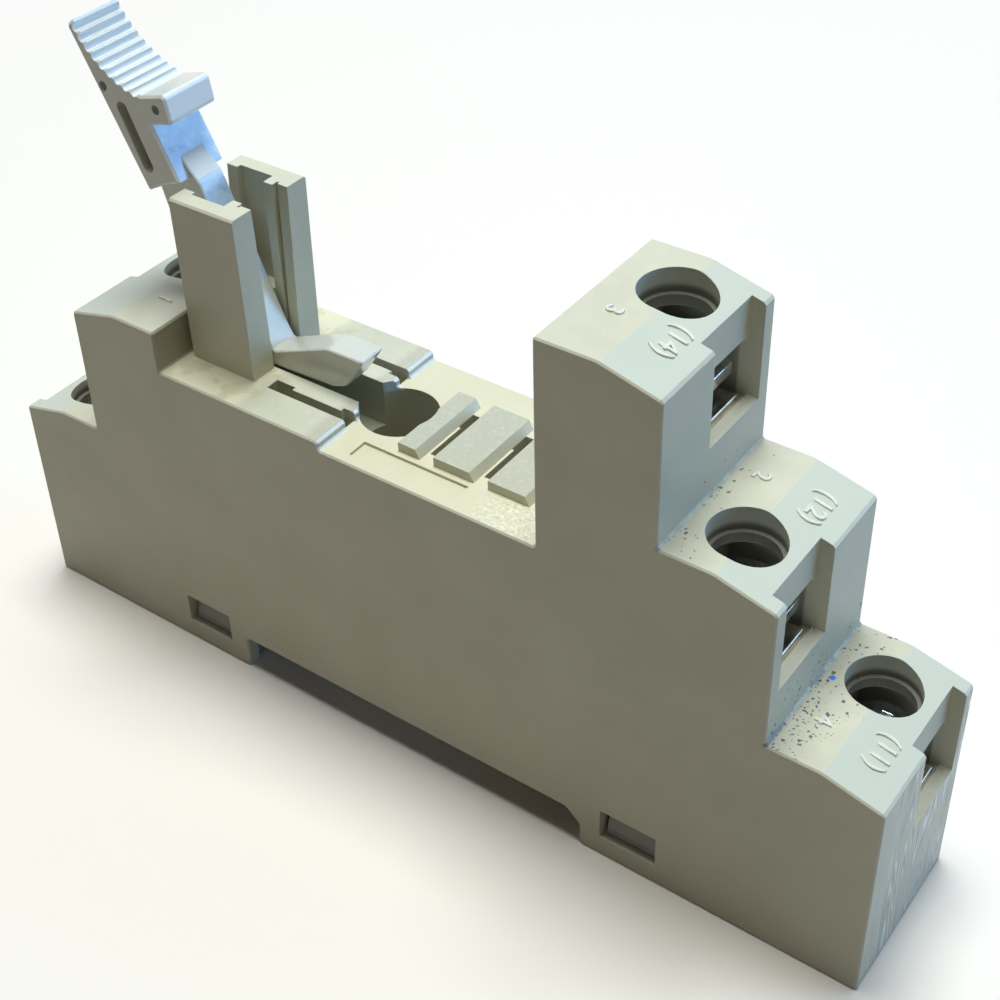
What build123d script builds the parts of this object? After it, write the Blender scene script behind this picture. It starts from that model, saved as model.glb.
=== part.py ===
from build123d import *
import math
import os

# Relay socket for one relay, with five finger safe screw terminals and a release lever.
# Millimetres. X runs along the socket, Y across it and Z up.
# The origin is the middle of the seat that lies on the mounting rail.

# Mounting rail
RAIL_WIDTH = 35.0
RAIL_PLAY = 0.5
RAIL_SHEET = 1.25

# Overall body
WIDTH = 15.0
FOOT_DEPTH = 3.45
SIDE_WALL = 1.2
CORNER_CHAMFER = 0.2
EDGE_CHAMFER = 0.15
RAIL_CORNER_CHAMFER = 1.3
CLEARANCE = 0.1

# Reach of a cut past the surface it opens, and width of the band that picks edges and corners
OVERCUT = 1.0
SEARCH_BAND = 0.01

# Terminal tiers, three at the right end and two at the left
LOW_TIER_HEIGHT = 17.3
TIER_DROP = 13.55
TIER_STEP = 9.2
TOP_TREAD = 10.0
LEFT_TREAD = 9.55
CREASE_INSET = 4.95
END_FALL = 1.3

# Screw well and wire entry of one terminal
ENTRY_WIDTH = 6.97
ENTRY_DEPTH = 1.13
ENTRY_WALL = 1.355
SILL_DEPTH = 9.3
BACK_WALL = 0.7
WINDOW_DROP = 4.25
WINDOW_RADIUS = 1.0
WELL_RADIUS = 2.88
WELL_DEPTH = 2.0
THROAT_RADIUS = 2.55
CHAMBER_ROOF_DROP = 2.9

# Terminal metalwork
STRIP_THICKNESS = 0.8
STRIP_WIDTH = 5.0
STRIP_ABOVE_SILL = 0.5
STRIP_COLLAR_RADIUS = 2.3
STRIP_COLLAR = 0.9
SCREW_RADIUS = 1.7
THREAD_CLEARANCE = 0.05
SCREW_REACH = 4.6
HEAD_RADIUS = 2.6
HEAD_HEIGHT = 1.9
HEAD_SLOT = 0.8
HEAD_SLOT_DEPTH = 0.8
HEAD_CROSS_DEPTH = 1.2
HEAD_CROSS_REACH = 1.55
CLAMP_PLAY = 0.385
CHAMBER_PLAY = 0.4
CLAMP_THICKNESS = 1.0
CLAMP_CORNER = 0.5
CLAMP_LIFT = 1.5
CLAMP_GROOVE_X = 2.3
CLAMP_GROOVE = 0.35

# Relay seat, laid out from the wall of the left tiers
SEAT_LEFT = -23.45
DECK_BELOW_TIER = 3.85
SHELF_STEP = 0.8
POST_GAP = 0.85
COIL_SLOT_GAP = 1.35
COIL_SLOT_LENGTH = 8.0
COIL_SLOT_NEAR = 2.85
COIL_SLOT_WIDTH = 1.25
COIL_LIP = 0.4
COIL_LIP_INSET = 1.95
COIL_POCKET_DROP = 5.0
DECK_LIP = 0.1
PAD_EDGE = 3.5
PAD_BEVEL = 0.45
PAD_WELL_LAP = 0.25
CONTACT_PITCH = 5.1
CONTACT_GAP = 1.3
CONTACT_SLOT_WIDTH = 0.9
CONTACT_SLOT_LENGTH = 5.9
CONTACT_MOUTH = 1.95
CONTACT_POCKET_DROP = 1.4
CONTACT_WALL_GAP = 2.15
MARKER_LENGTH = 10.0
MARKER_WIDTH = 1.9
MARKER_INSET = 1.05
MARKER_DEPTH = 0.25

# Mounting well and the channel for the ejector foot
WELL_STEP = 2.2
MOUNT_WELL_RADIUS = 3.25
MOUNT_TUBE_WALL = 1.0
MOUNT_HOLE_RADIUS = 2.2
CONTACT_WELL_GAP = 2.5
CHANNEL_HALF_WIDTH = 1.55
CHANNEL_GAP = 0.25
CHANNEL_DEPTH = 4.2

# Posts beside the lever, in five bands from back to front
POST_HEIGHT = 15.0
POST_OUTER_BASE = 4.1
POST_OUTER_TOP = 4.3
POST_INNER_BASE = 1.65
POST_CHAMFER = 0.18
BACK_FLANGE = 1.1
BACK_FLANGE_TOP = 2.45
POST_RECESS = 3.4
RECESS_INNER = 2.85
RECESS_ABOVE_DECK = 5.15
POST_RIB = 0.9
POST_RIB_TOP = 1.75
POST_GROOVE = 0.25
POST_GROOVE_DEPTH = 0.6
FRONT_FLANGE = 1.0
FRONT_FLANGE_TOP = 2.1

# Release lever, leaning back and open: places in X and Z from its pivot
PIVOT_INSET = 2.6
PIVOT_RISE = 2.75
PIVOT_RADIUS = 1.3
PIVOT_CLEARANCE = 0.05
PIVOT_REACH = 3.4
PIVOT_EYE = 2.55
PIVOT_BOTTOM = (1.2, 2.25)
LEVER_WIDTH = 5.1
ARM_WIDTH = 2.7
GRIP_CENTRE = (-4.3, 28.25)
GRIP_RADIUS = 9.1
GRIP_START = 207.5
GRIP_END = 259.5
GRIP_TEETH = 9
GRIP_LEAD = 0.75
GRIP_GROOVE = 0.36
GRIP_LIP = (-0.6782, -0.4981)
GRIP_NOSE = (2.6183, 0.7276)
HEAD_CORNER = 0.4
LEVER_EDGE = 0.2
ARM_EDGE = 0.12
ARM_CORNER = 0.2
HEAD_BOTTOM = (-2.9, 17.6)
HEAD_THROAT = (-5.2, 17.0)
STEM_FRONT = (-3.0, 12.6)
STEM_STEP = (-5.05, 11.75)
STEM_BACK = (-6.66, 10.89)
SIDE_SLOT = ((-8.2, 17.7), (-6.3, 13.2))
SIDE_SLOT_WIDTH = 1.15
SIDE_HOLES = ((-10.0, 19.15), (-4.45, 18.55))
SIDE_HOLE_RADIUS = 0.42
ARM_RAMP = (-4.5, 14.95)
ARM_FRONT_TOP = (-2.1, 12.45)
ARM_FRONT_BOTTOM = (3.25, -0.15)
ARM_BACK_TOP = (-6.7, 11.15)
ARM_BACK_LOW = (-5.3, 6.45)
HEEL_NECK = (-4.75, 4.6)
HEEL_TOP = (-5.9, 4.2)
HEEL_BOTTOM = (-5.9, 2.95)
ARM_BACK_ROOT = (-3.3, 2.45)
BEAK_ROOT = (3.9, -1.4)
BEAK_CREST = (9.7, 1.05)
BEAK_TIP = (13.45, 1.1)
BEAK_NOSE = (11.4, -2.0)
BEAK_HEEL = (10.1, -2.5)
BEAK_UNDER = (4.1, -2.8)

# Hollow for the contact parts, open below, and the routes of the strips in it
HALL_INSET = 10.7
HALL_BELOW_TIER = 3.3
COVER_SPACE = 3.2
BUS_BELOW_CEILING = {"14": 1.5, "12": 5.0, "a1": 5.0, "11": 8.4}
BUS_DIP = (1.0, 4.0)
COIL_STRIP_GAP = 0.55
CLIP_POCKET_HALF = 1.6
CLIP_THICKNESS = 0.4
CLIP_WIDTH = 4.6
CLIP_HALF = 1.1
CLIP_PINCH = 0.42
CLIP_MOUTH = 1.7
CLIP_NECK = 4.2
CLIP_TOP_GAP = 0.4

# Base cover and rail latch
COVER_THICKNESS = 1.5
COVER_LIFT = 0.2
SEAT_END_GAP = 0.3
FOOT_RECESS = 0.25
COVER_ROOT = 0.5
HOOK_REACH = 1.25
HOOK_WALL = 1.6
HOOK_THICKNESS = 1.35
RIB = 1.2
WINDOW_INSET = 1.95
WINDOW_LENGTH = 5.1
WINDOW_BOTTOM = -1.4
WINDOW_TOP = 1.7
TONGUE_DEPTH = 0.65
TONGUE_PLAY = 0.35
TONGUE_LEDGE = 0.7
TONGUE_BEVEL = 0.45
LATCH_HALF = 4.0
LATCH_FLANGE = 0.85
LATCH_PLAY = 0.15
LATCH_INSET = 0.2
LATCH_NOSE_GAP = 0.1
LATCH_BEVEL = 0.6
FLANGE_BOTTOM = -2.0
FLANGE_TOP = -0.9
FLANGE_SETBACK = 1.2
SPRING_INSET = 9.2
SPRING_LENGTH = 8.0
SPRING_RADIUS = 0.85
SPRING_WIRE = 0.17
SPRING_TURNS = 4
SPRING_AXIS_Z = -1.2
SPRING_STOP_HALF = 1.4
SPRING_STOP_DROP = 0.75
SPRING_POCKET_HALF = 1.6
DRIVER_SLOT_INSET = 1.6
DRIVER_SLOT_LENGTH = 2.6
DRIVER_SLOT_WIDTH = 4.4

# Terminal name, end of the socket, tier from the top, lane across the socket
LOWEST_TIER = 2
TERMINALS = (("14", 1, 0, 1), ("12", 1, 1, -1), ("11", 1, 2, 1), ("a1", -1, 1, 1), ("a2", -1, 2, -1))

# Worked out from the sizes above
HALF_WIDTH = WIDTH / 2
INNER_HALF = HALF_WIDTH - SIDE_WALL
COVER_HALF = INNER_HALF - CLEARANCE
RAIL_HALF = (RAIL_WIDTH + RAIL_PLAY) / 2
LANE = HALF_WIDTH - ENTRY_WALL - ENTRY_WIDTH / 2
DECK_HEIGHT = LOW_TIER_HEIGHT + TIER_DROP - DECK_BELOW_TIER
SHELF_HEIGHT = DECK_HEIGHT - SHELF_STEP
POST_TOP = DECK_HEIGHT + POST_HEIGHT
POST_BACK = SEAT_LEFT + POST_GAP
POST_BANDS = (BACK_FLANGE, POST_RECESS, POST_RIB, POST_GROOVE, FRONT_FLANGE)
POST_FRONT = POST_BACK + sum(POST_BANDS)
PIVOT_X = POST_BACK + PIVOT_INSET
PIVOT_Z = DECK_HEIGHT + PIVOT_RISE
COIL_SLOT_START = POST_FRONT + COIL_SLOT_GAP
COIL_SLOT_END = COIL_SLOT_START + COIL_SLOT_LENGTH
COIL_X = COIL_SLOT_START + COIL_SLOT_LENGTH / 2
COIL_Y = COIL_SLOT_NEAR + COIL_SLOT_WIDTH / 2
DECK_END = COIL_SLOT_END + DECK_LIP
WELL_X = DECK_END + WELL_STEP
TUBE_RADIUS = MOUNT_WELL_RADIUS + MOUNT_TUBE_WALL
CONTACT_11 = WELL_X + MOUNT_WELL_RADIUS + CONTACT_WELL_GAP
CONTACT_X = {"11": CONTACT_11, "12": CONTACT_11 + CONTACT_PITCH, "14": CONTACT_11 + 2 * CONTACT_PITCH}
SEAT_RIGHT = CONTACT_X["14"] + CONTACT_WALL_GAP
RIGHT_END = SEAT_RIGHT + TOP_TREAD + 2 * TIER_STEP
LEFT_END = SEAT_LEFT - LEFT_TREAD - TIER_STEP
HALL_LEFT = LEFT_END + HALL_INSET
HALL_RIGHT = RIGHT_END - HALL_INSET
HALL_CEILING = LOW_TIER_HEIGHT - HALL_BELOW_TIER
CONTACT_POCKET_TOP = SHELF_HEIGHT - CONTACT_POCKET_DROP
COIL_POCKET_TOP = DECK_HEIGHT - COIL_POCKET_DROP
CLAMP_HALF = ENTRY_WIDTH / 2 - CLAMP_PLAY
CHAMBER_REACH = CLAMP_HALF + CHAMBER_PLAY
FOOT_BOTTOM = -FOOT_DEPTH + FOOT_RECESS
COVER_LEFT = LEFT_END + SIDE_WALL + CLEARANCE
COVER_RIGHT = RIGHT_END - SIDE_WALL - CLEARANCE
LATCH_END = LEFT_END + LATCH_INSET
SPRING_START = LEFT_END + SPRING_INSET
SPRING_END = SPRING_START + SPRING_LENGTH


# Solids from plain outlines

def block(x_range, y_range, z_range):
    x_size = x_range[1] - x_range[0]
    y_size = y_range[1] - y_range[0]
    z_size = z_range[1] - z_range[0]
    middle = Pos(sum(x_range) / 2, sum(y_range) / 2, sum(z_range) / 2)
    return middle * Box(abs(x_size), abs(y_size), abs(z_size))


def upright(x, y, z_range, radius):
    return Pos(x, y, sum(z_range) / 2) * Cylinder(radius, z_range[1] - z_range[0])


def cross_pin(x, z, y_range, radius):
    return Pos(x, sum(y_range) / 2, z) * Rot(90, 0, 0) * Cylinder(radius, abs(y_range[1] - y_range[0]))


def side_face(points, corner=0):
    face = make_face(Polyline(*points, close=True))
    if corner:
        face = chamfer(face.vertices(), corner)
    return face


def corners(face, points):
    chosen = [face.vertices().sort_by_distance((x, z, 0))[0] for x, z in points]
    return ShapeList(chosen)


def side_prism(face, width, y_middle=0):
    return extrude(Plane.XZ.offset(-y_middle) * face, width / 2, both=True)


def ribbon(points, thickness):
    path = [Vector(x, z) for x, z in points]
    legs = [(after - before).normalized() for before, after in zip(path, path[1:])]
    left = []
    right = []
    for place, leg, following in zip(path, legs[:1] + legs, legs + legs[-1:]):
        across = (leg + following).normalized().rotate(Axis.Z, 90)
        reach = thickness / 2 / across.dot(leg.rotate(Axis.Z, 90))
        left.append(place + across * reach)
        right.append(place - across * reach)
    return make_face(Polyline(*left, *right[::-1], close=True))


def end_prism(points, x_range):
    face = Plane.YZ.offset(x_range[0]) * make_face(Polyline(*points, close=True))
    return extrude(face, x_range[1] - x_range[0])


def mirrored(shape):
    return shape + mirror(shape, Plane.XZ)


def edges_at_sides(shape, half_width):
    near = shape.edges().filter_by_position(Axis.Y, *around(-half_width, SEARCH_BAND))
    far = shape.edges().filter_by_position(Axis.Y, *around(half_width, SEARCH_BAND))
    return near + far


def span(first, second):
    return (min(first, second), max(first, second))


def around(middle, half):
    return (middle - half, middle + half)


# Places that a terminal's parts share

def end_x(side, tier):
    end = RIGHT_END if side > 0 else LEFT_END
    return end - side * (LOWEST_TIER - tier) * TIER_STEP


def tier_height(tier):
    return LOW_TIER_HEIGHT + (LOWEST_TIER - tier) * TIER_DROP


def screw_x(side, tier):
    return end_x(side, tier) - side * CREASE_INSET


def sill_height(tier):
    return tier_height(tier) - SILL_DEPTH


def strip_top(tier):
    return sill_height(tier) + STRIP_ABOVE_SILL


def strip_middle(tier):
    return strip_top(tier) - STRIP_THICKNESS / 2


def clamp_bottom(tier):
    return strip_top(tier) + CLAMP_LIFT


def strip_edge(side, tier):
    return end_x(side, tier) - side * (ENTRY_DEPTH + CLEARANCE)


def leg_x(side, tier):
    return screw_x(side, tier) - side * (CHAMBER_REACH - CLEARANCE - STRIP_THICKNESS / 2)


def bus_level(name):
    return HALL_CEILING - BUS_BELOW_CEILING[name]


# Housing, one moulding

def body_outline():
    points = [(LEFT_END, -FOOT_DEPTH), (-RAIL_HALF, -FOOT_DEPTH), (-RAIL_HALF, 0)]
    points += [(RAIL_HALF - RAIL_CORNER_CHAMFER, 0), (RAIL_HALF, -RAIL_CORNER_CHAMFER)]
    points += [(RAIL_HALF, -FOOT_DEPTH), (RIGHT_END, -FOOT_DEPTH)]
    for tier in (2, 1, 0):
        outer = end_x(1, tier)
        inner = end_x(1, tier - 1) if tier else SEAT_RIGHT
        height = tier_height(tier)
        points += [(outer, height - END_FALL), (outer - CREASE_INSET, height), (inner, height)]
    points += [(SEAT_RIGHT, SHELF_HEIGHT), (DECK_END, SHELF_HEIGHT), (DECK_END, DECK_HEIGHT)]
    points += [(SEAT_LEFT, DECK_HEIGHT)]
    for tier in (1, 2):
        outer = end_x(-1, tier)
        inner = end_x(-1, tier - 1) if tier == LOWEST_TIER else SEAT_LEFT
        height = tier_height(tier)
        points += [(inner, height), (outer + CREASE_INSET, height), (outer, height - END_FALL)]
    return points


def entry_window(side, tier, y_middle):
    half = ENTRY_WIDTH / 2
    low = strip_top(tier) - STRIP_THICKNESS
    high = tier_height(tier) - WINDOW_DROP
    face = make_face(Polyline((-half, low), (half, low), (half, high), (-half, high), close=True))
    top_corners = face.vertices().filter_by_position(Axis.Y, *around(high, SEARCH_BAND))
    face = fillet(top_corners, WINDOW_RADIUS)
    start = end_x(side, tier) - side * (ENTRY_DEPTH + BACK_WALL + CLEARANCE)
    plane = Plane(origin=(start, y_middle, 0), x_dir=(0, 1, 0), z_dir=(1, 0, 0))
    return extrude(plane * face, side * (BACK_WALL + 2 * CLEARANCE))


def terminal_space(side, tier, lane):
    x_end = end_x(side, tier)
    x_screw = screw_x(side, tier)
    y_middle = lane * LANE
    y_range = around(y_middle, ENTRY_WIDTH / 2)
    top = tier_height(tier)
    floor = strip_top(tier) - STRIP_THICKNESS
    notch_x = span(x_end - side * ENTRY_DEPTH, x_end + side * OVERCUT)
    notch = block(notch_x, y_range, (sill_height(tier), top + OVERCUT))
    inner = x_screw - side * CHAMBER_REACH
    outer = x_end - side * (ENTRY_DEPTH + BACK_WALL)
    chamber = block(span(inner, outer), y_range, (floor, top - CHAMBER_ROOF_DROP))
    groove_x = span(outer, strip_edge(side, tier) + side * CLEARANCE)
    groove = block(groove_x, y_range, (floor, sill_height(tier)))
    well = upright(x_screw, y_middle, (top - WELL_DEPTH, top + OVERCUT), WELL_RADIUS)
    throat = upright(x_screw, y_middle, (top - CHAMBER_ROOF_DROP, top - WELL_DEPTH), THROAT_RADIUS)
    half = STRIP_COLLAR_RADIUS + CLEARANCE
    pocket_z = (strip_top(tier) - SCREW_REACH - CLEARANCE, floor)
    pocket = block(around(x_screw, half), around(y_middle, half), pocket_z)
    return notch + chamber + groove + entry_window(side, tier, y_middle) + well + throat + pocket


def strip_channel(side, tier, lane):
    y_range = around(lane * LANE, STRIP_WIDTH / 2 + CLEARANCE)
    half = STRIP_THICKNESS / 2 + 2 * CLEARANCE
    x_leg = leg_x(side, tier)
    top = strip_top(tier)
    if tier == LOWEST_TIER:
        hall_end = HALL_RIGHT if side > 0 else HALL_LEFT
        z_range = (top - STRIP_THICKNESS - CLEARANCE, top + CLEARANCE)
        return block(span(x_leg + side * OVERCUT, hall_end), y_range, z_range)
    return block(around(x_leg, half), y_range, (HALL_CEILING, strip_middle(tier)))


def contact_space():
    across = (-INNER_HALF, INNER_HALF)
    hall = block((HALL_LEFT, HALL_RIGHT), across, (-FOOT_DEPTH, HALL_CEILING))
    cover = block((LEFT_END + SIDE_WALL, RIGHT_END - SIDE_WALL), across, (-FOOT_DEPTH, COVER_SPACE))
    space = hall + cover - upright(WELL_X, 0, (COVER_THICKNESS, HALL_CEILING + OVERCUT), TUBE_RADIUS)
    clip_y = around(0, CLIP_WIDTH / 2 + CLEARANCE)
    for x in CONTACT_X.values():
        space += block(around(x, CLIP_POCKET_HALF), clip_y, (HALL_CEILING, CONTACT_POCKET_TOP))
    clip_x = around(COIL_X, CLIP_WIDTH / 2 + CLEARANCE)
    for lane in (1, -1):
        clip_y = around(lane * COIL_Y, CLIP_POCKET_HALF)
        space += block(clip_x, clip_y, (HALL_CEILING, COIL_POCKET_TOP))
    return space


def contact_pads():
    start = WELL_X + MOUNT_WELL_RADIUS - PAD_WELL_LAP
    pads = []
    for end in [x - CONTACT_GAP / 2 for x in CONTACT_X.values()] + [SEAT_RIGHT + OVERCUT]:
        outline = [(start, SHELF_HEIGHT - OVERCUT), (start, DECK_HEIGHT), (end - PAD_BEVEL, DECK_HEIGHT)]
        outline += [(end, SHELF_HEIGHT), (end, SHELF_HEIGHT - OVERCUT)]
        pads.append(side_prism(side_face(outline), 2 * (HALF_WIDTH - PAD_EDGE)))
        start = end + CONTACT_GAP
    return Part() + pads


def contact_slots():
    deep = (CONTACT_POCKET_TOP - OVERCUT, DECK_HEIGHT + OVERCUT)
    half = CONTACT_SLOT_LENGTH / 2
    slots = []
    for x in CONTACT_X.values():
        slots.append(block(around(x, CONTACT_SLOT_WIDTH / 2), around(0, half), deep))
        slots.append(block(around(x, CONTACT_GAP / 2), (half - CONTACT_MOUTH, half), deep))
    return Part() + slots


def coil_slots():
    low = COIL_POCKET_TOP - OVERCUT
    far = COIL_SLOT_NEAR + COIL_SLOT_WIDTH
    slot = block((COIL_SLOT_START, COIL_SLOT_END), (COIL_SLOT_NEAR, far), (low, DECK_HEIGHT + OVERCUT))
    lip_x = (COIL_SLOT_START + COIL_LIP_INSET, COIL_SLOT_END - COIL_LIP_INSET / 2)
    slot -= block(lip_x, (COIL_SLOT_NEAR, COIL_SLOT_NEAR + COIL_LIP), (low, DECK_HEIGHT + OVERCUT))
    mouth_x = (COIL_SLOT_END - OVERCUT, DECK_END + OVERCUT)
    slot += block(mouth_x, (COIL_SLOT_NEAR, far), (SHELF_HEIGHT, DECK_HEIGHT + OVERCUT))
    return mirrored(slot)


def post_band(x_range, inner_base, inner_top):
    root = DECK_HEIGHT - OVERCUT
    points = [(inner_base, root), (POST_OUTER_BASE, root)]
    points += [(POST_OUTER_TOP, POST_TOP - POST_CHAMFER), (POST_OUTER_TOP - POST_CHAMFER, POST_TOP)]
    points += [(inner_top, POST_TOP)]
    return end_prism(points, x_range)


def post():
    groove_base = POST_INNER_BASE + POST_GROOVE_DEPTH / 2
    groove_top = POST_RIB_TOP + POST_GROOVE_DEPTH
    inner_top = (BACK_FLANGE_TOP, POST_INNER_BASE, POST_RIB_TOP, groove_top, FRONT_FLANGE_TOP)
    inner_base = (POST_INNER_BASE, POST_INNER_BASE, POST_INNER_BASE, groove_base, POST_INNER_BASE)
    bands = []
    x = POST_BACK
    for length, base, top in zip(POST_BANDS, inner_base, inner_top):
        bands.append(post_band((x, x + length), base, top))
        x += length
    recess_start = POST_BACK + BACK_FLANGE
    recess_x = (recess_start, recess_start + POST_RECESS)
    recess = block(recess_x, (0, RECESS_INNER), (DECK_HEIGHT + RECESS_ABOVE_DECK, POST_TOP + OVERCUT))
    eye = cross_pin(PIVOT_X, PIVOT_Z, (0, PIVOT_REACH + CLEARANCE), PIVOT_RADIUS + PIVOT_CLEARANCE)
    return Part() + bands - recess - eye


def marker_recess():
    near = -HALF_WIDTH + MARKER_INSET
    x_range = (WELL_X + CLEARANCE, WELL_X + CLEARANCE + MARKER_LENGTH)
    return block(x_range, (near, near + MARKER_WIDTH), (SHELF_HEIGHT - MARKER_DEPTH, SHELF_HEIGHT + OVERCUT))


def window_x(side, play=0):
    first = RAIL_HALF + WINDOW_INSET
    return span(side * (first + play), side * (first + WINDOW_LENGTH - play))


def housing():
    shape = side_prism(side_face(body_outline(), CORNER_CHAMFER), WIDTH)
    shape = chamfer(edges_at_sides(shape, HALF_WIDTH), EDGE_CHAMFER)
    shape += contact_pads()
    shape += mirrored(post())
    shape -= contact_space()
    for name, side, tier, lane in TERMINALS:
        shape -= terminal_space(side, tier, lane) + strip_channel(side, tier, lane)
    shape -= upright(WELL_X, 0, (0, DECK_HEIGHT + OVERCUT), MOUNT_WELL_RADIUS)
    channel_x = (SEAT_LEFT + CHANNEL_GAP, WELL_X - MOUNT_WELL_RADIUS / 2)
    channel_z = (DECK_HEIGHT - CHANNEL_DEPTH, DECK_HEIGHT + OVERCUT)
    shape -= block(channel_x, around(0, CHANNEL_HALF_WIDTH), channel_z)
    shape -= contact_slots() + coil_slots() + marker_recess()
    for side in (1, -1):
        window_y = (INNER_HALF - OVERCUT, HALF_WIDTH + OVERCUT)
        shape -= mirrored(block(window_x(side), window_y, (WINDOW_BOTTOM, WINDOW_TOP)))
    door_x = (LEFT_END - OVERCUT, COVER_LEFT)
    door_half = LATCH_HALF + LATCH_FLANGE + LATCH_PLAY
    return shape - block(door_x, around(0, door_half), (-FOOT_DEPTH - OVERCUT, COVER_LIFT))


# Base cover with the rail seat and the fixed hook, and the latch that slides in it

def base_cover():
    across = (-COVER_HALF, COVER_HALF)
    shape = block((COVER_LEFT, COVER_RIGHT), across, (COVER_LIFT, COVER_THICKNESS))
    seat_half = RAIL_HALF - HOOK_REACH - SEAT_END_GAP
    shape += block(around(0, seat_half), across, (0, COVER_ROOT))
    nose_low = -RAIL_SHEET - HOOK_THICKNESS / 2
    tip = RAIL_HALF - HOOK_REACH
    hook = [(RAIL_HALF + HOOK_WALL, COVER_ROOT), (RAIL_HALF, COVER_ROOT), (RAIL_HALF, -RAIL_SHEET)]
    hook += [(tip, -RAIL_SHEET), (tip, nose_low), (RAIL_HALF - HOOK_REACH / 2, FOOT_BOTTOM)]
    hook += [(RAIL_HALF + HOOK_WALL, FOOT_BOTTOM)]
    shape += side_prism(side_face(hook), 2 * COVER_HALF)
    foot = (FOOT_BOTTOM, COVER_ROOT)
    for x in ((RAIL_HALF + COVER_RIGHT) / 2, COVER_RIGHT - RIB / 2):
        shape += block(around(x, RIB / 2), across, foot)
    shape += block((RAIL_HALF, COVER_RIGHT), around(0, RIB / 2), foot)
    shape += mirrored(latch_rail())
    stop_x = (SPRING_START - RIB, SPRING_START)
    shape += block(stop_x, around(0, SPRING_STOP_HALF), (SPRING_AXIS_Z - SPRING_STOP_DROP, COVER_ROOT))
    for side in (1, -1):
        shape += mirrored(snap_tongue(side))
    return shape - upright(WELL_X, 0, (-OVERCUT, COVER_THICKNESS + OVERCUT), MOUNT_HOLE_RADIUS)


def latch_rail():
    x_range = (COVER_LEFT, -RAIL_HALF - SEAT_END_GAP)
    rail = block(x_range, (LATCH_HALF + LATCH_PLAY, COVER_HALF), (FOOT_BOTTOM, COVER_ROOT))
    groove_y = (0, LATCH_HALF + LATCH_FLANGE + LATCH_PLAY)
    return rail - block(x_range, groove_y, (FLANGE_BOTTOM - LATCH_PLAY, FLANGE_TOP + LATCH_PLAY))


def snap_tongue(side):
    root = COVER_HALF - OVERCUT
    outer = HALF_WIDTH - TONGUE_DEPTH
    low = WINDOW_BOTTOM + CLEARANCE
    high = WINDOW_TOP - TONGUE_PLAY
    outline = [(root, low), (outer, low), (outer, low + TONGUE_LEDGE)]
    outline += [(outer - TONGUE_BEVEL, high), (root, high)]
    return end_prism(outline, window_x(side, TONGUE_PLAY))


def rail_latch():
    top = COVER_LIFT - LATCH_PLAY
    front = -RAIL_HALF - LATCH_NOSE_GAP
    nose = -RAIL_HALF + HOOK_REACH
    outline = [(LATCH_END, top), (LATCH_END, FOOT_BOTTOM + LATCH_BEVEL)]
    outline += [(LATCH_END + LATCH_BEVEL, FOOT_BOTTOM), (-RAIL_HALF, FOOT_BOTTOM)]
    outline += [(nose, -RAIL_SHEET - HOOK_THICKNESS / 2), (nose, -RAIL_SHEET)]
    outline += [(front, -RAIL_SHEET), (front, top)]
    shape = side_prism(side_face(outline), 2 * LATCH_HALF)
    flange_x = (LATCH_END, -RAIL_HALF - FLANGE_SETBACK)
    shape += block(flange_x, around(0, LATCH_HALF + LATCH_FLANGE), (FLANGE_BOTTOM, FLANGE_TOP))
    pocket_x = (SPRING_START - RIB - CLEARANCE, SPRING_END)
    pocket_low = SPRING_AXIS_Z - SPRING_RADIUS - SPRING_WIRE - CLEARANCE
    shape -= block(pocket_x, around(0, SPRING_POCKET_HALF), (pocket_low, OVERCUT))
    slot_start = LATCH_END + DRIVER_SLOT_INSET
    slot = (slot_start, slot_start + DRIVER_SLOT_LENGTH)
    return shape - block(slot, around(0, DRIVER_SLOT_WIDTH / 2), (FOOT_BOTTOM - OVERCUT, OVERCUT))


def latch_spring():
    length = SPRING_LENGTH - 2 * SPRING_WIRE
    helix = Helix(length / SPRING_TURNS, length, SPRING_RADIUS)
    wire = sweep(Plane(origin=helix @ 0, z_dir=helix % 0) * RegularPolygon(SPRING_WIRE, 4), helix)
    return Pos(SPRING_START + SPRING_WIRE, 0, SPRING_AXIS_Z) * Rot(0, 90, 0) * wire


# Release lever

def beside(place, step):
    return (place[0] + step[0], place[1] + step[1])


def from_pivot(step):
    return beside((PIVOT_X, PIVOT_Z), step)


def grip_point(share):
    turn = math.radians(GRIP_START + (GRIP_END - GRIP_START) * share)
    x = GRIP_CENTRE[0] + GRIP_RADIUS * math.cos(turn)
    z = GRIP_CENTRE[1] + GRIP_RADIUS * math.sin(turn)
    return from_pivot((x, z))


def lever_head():
    arc = ThreePointArc(grip_point(0), grip_point(0.5), grip_point(1))
    tip = beside(grip_point(0), GRIP_LIP)
    nose = beside(grip_point(1), GRIP_NOSE)
    places = (HEAD_BOTTOM, HEAD_THROAT, STEM_FRONT, STEM_STEP, STEM_BACK)
    rest = Polyline(grip_point(1), nose, *[from_pivot(place) for place in places], tip, grip_point(0))
    face = make_face(arc + rest)
    face = fillet(corners(face, [nose, from_pivot(HEAD_BOTTOM), tip]), HEAD_CORNER)
    shape = side_prism(face, LEVER_WIDTH)
    shape = chamfer(edges_at_sides(shape, LEVER_WIDTH / 2), LEVER_EDGE)
    for tooth in range(GRIP_TEETH):
        x, z = grip_point((tooth + GRIP_LEAD) / (GRIP_TEETH - 1 + 2 * GRIP_LEAD))
        shape -= cross_pin(x, z, around(0, LEVER_WIDTH), GRIP_GROOVE)
    return shape


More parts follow.
